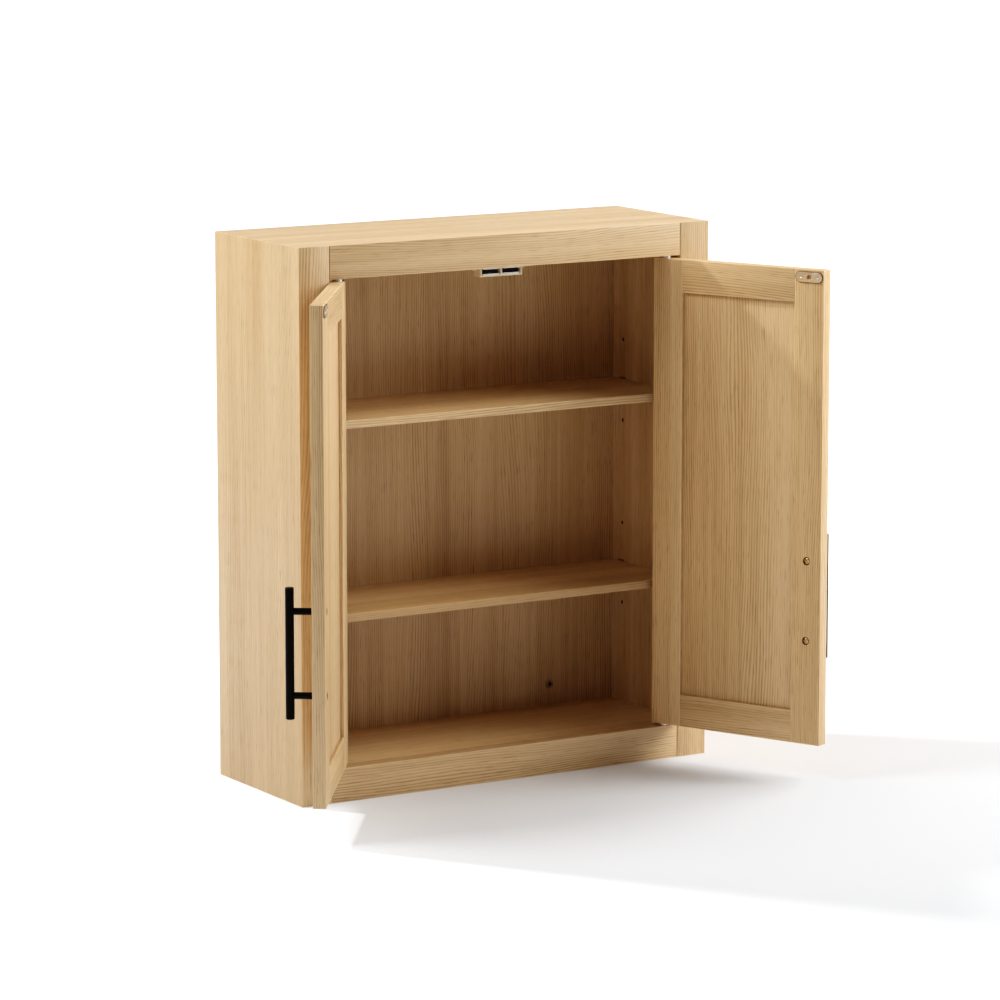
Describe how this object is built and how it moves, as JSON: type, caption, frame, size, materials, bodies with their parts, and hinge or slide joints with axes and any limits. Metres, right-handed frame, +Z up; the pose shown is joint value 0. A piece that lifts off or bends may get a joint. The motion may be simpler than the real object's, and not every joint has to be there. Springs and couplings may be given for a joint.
{
  "type": "hanging wall cabinet",
  "caption": "Shallow wall-hung storage cabinet with a face frame, inset framed doors on pivot pins, slim bar pulls, a magnetic catch and adjustable shelves.",
  "frame": {"origin": "middle of the four wall-screw holes, on the plane of the wall", "axes": "+X to the right as seen from the front, +Y into the wall, +Z up; the doors face -Y"},
  "size_m": [0.72, 0.4024, 0.652],
  "materials": {
    "carcass_oak": "light natural oak laminate, satin",
    "back_oak": "light natural oak laminate, satin",
    "face_frame_oak": "light natural oak laminate, satin",
    "core_board": "raw board",
    "dowel_beech": "raw beech",
    "zinc_steel": "zinc plated",
    "zinc_alloy": "die-cast zinc",
    "bushing_metal": "nickel plated",
    "shelf_oak": "light natural oak laminate, satin",
    "edging_oak": "light natural oak edging, satin",
    "support_steel": "nickel plated",
    "catch_plastic": "cream",
    "magnet_ferrite": "dark ferrite",
    "pole_steel": "zinc plated",
    "pivot_steel": "zinc plated",
    "door_frame_oak": "light natural oak laminate, satin",
    "door_panel_oak": "light natural oak laminate, satin",
    "bush_steel": "nickel plated",
    "pull_black": "matt black",
    "screw_brass": "yellow zinc plated",
    "strike_steel": "nickel plated",
    "strike_screw_steel": "zinc plated"
  },
  "bodies": {
    "cabinet": {"left_side_panel": "carcass_oak", "right_side_panel": "carcass_oak", "top_panel": "carcass_oak", "bottom_panel": "carcass_oak", "back_panel": "back_oak", "left_stile": "face_frame_oak", "right_stile": "face_frame_oak", "top_rail": "face_frame_oak", "bottom_rail": "face_frame_oak", "upper_hanging_rail": "core_board", "lower_hanging_rail": "core_board", "catch_block": "core_board", "face_frame_dowels": "dowel_beech", "carcass_dowels": "dowel_beech", "cam_bolts": "zinc_steel", "cam_locks": "zinc_alloy", "wall_hole_bushings": "bushing_metal", "upper_shelf_supports": "support_steel", "lower_shelf_supports": "support_steel", "catch_housing": "catch_plastic", "catch_magnets": "magnet_ferrite", "catch_pole_plates": "pole_steel", "catch_screws": "zinc_steel", "left_upper_pivot_pin": "pivot_steel", "left_lower_pivot_pin": "pivot_steel", "right_upper_pivot_pin": "pivot_steel", "right_lower_pivot_pin": "pivot_steel"},
    "left_door": {"left_door_hinge_stile": "door_frame_oak", "left_door_lock_stile": "door_frame_oak", "left_door_top_rail": "door_frame_oak", "left_door_bottom_rail": "door_frame_oak", "left_door_panel": "door_panel_oak", "left_door_upper_bush": "bush_steel", "left_door_lower_bush": "bush_steel", "left_pull_bar": "pull_black", "left_pull_posts": "pull_black", "left_pull_screws": "screw_brass", "left_strike_plate": "strike_steel", "left_strike_screw": "strike_screw_steel"},
    "right_door": {"right_door_hinge_stile": "door_frame_oak", "right_door_lock_stile": "door_frame_oak", "right_door_top_rail": "door_frame_oak", "right_door_bottom_rail": "door_frame_oak", "right_door_panel": "door_panel_oak", "right_door_upper_bush": "bush_steel", "right_door_lower_bush": "bush_steel", "right_pull_bar": "pull_black", "right_pull_posts": "pull_black", "right_pull_screws": "screw_brass", "right_strike_plate": "strike_steel", "right_strike_screw": "strike_screw_steel"},
    "upper_shelf": {"upper_shelf": "shelf_oak", "upper_shelf_edging": "edging_oak"},
    "lower_shelf": {"lower_shelf": "shelf_oak", "lower_shelf_edging": "edging_oak"}
  },
  "joints": [
    {"name": "left_door_swing", "type": "hinge", "parent": "cabinet", "child": "left_door", "pos_m": [-0.2248, -0.1955, 0], "axis": [0, 0, -1], "range_deg": [-125.4, 0.6]},
    {"name": "right_door_swing", "type": "hinge", "parent": "cabinet", "child": "right_door", "pos_m": [0.2248, -0.1955, 0], "axis": [0, 0, 1], "range_deg": [-114.1, 11.9]},
    {"name": "upper_shelf_lift", "type": "slide", "parent": "cabinet", "child": "upper_shelf", "axis": [0, 0, 1], "range_m": [0, 0.03]},
    {"name": "lower_shelf_lift", "type": "slide", "parent": "cabinet", "child": "lower_shelf", "axis": [0, 0, 1], "range_m": [0, 0.03]}
  ]
}
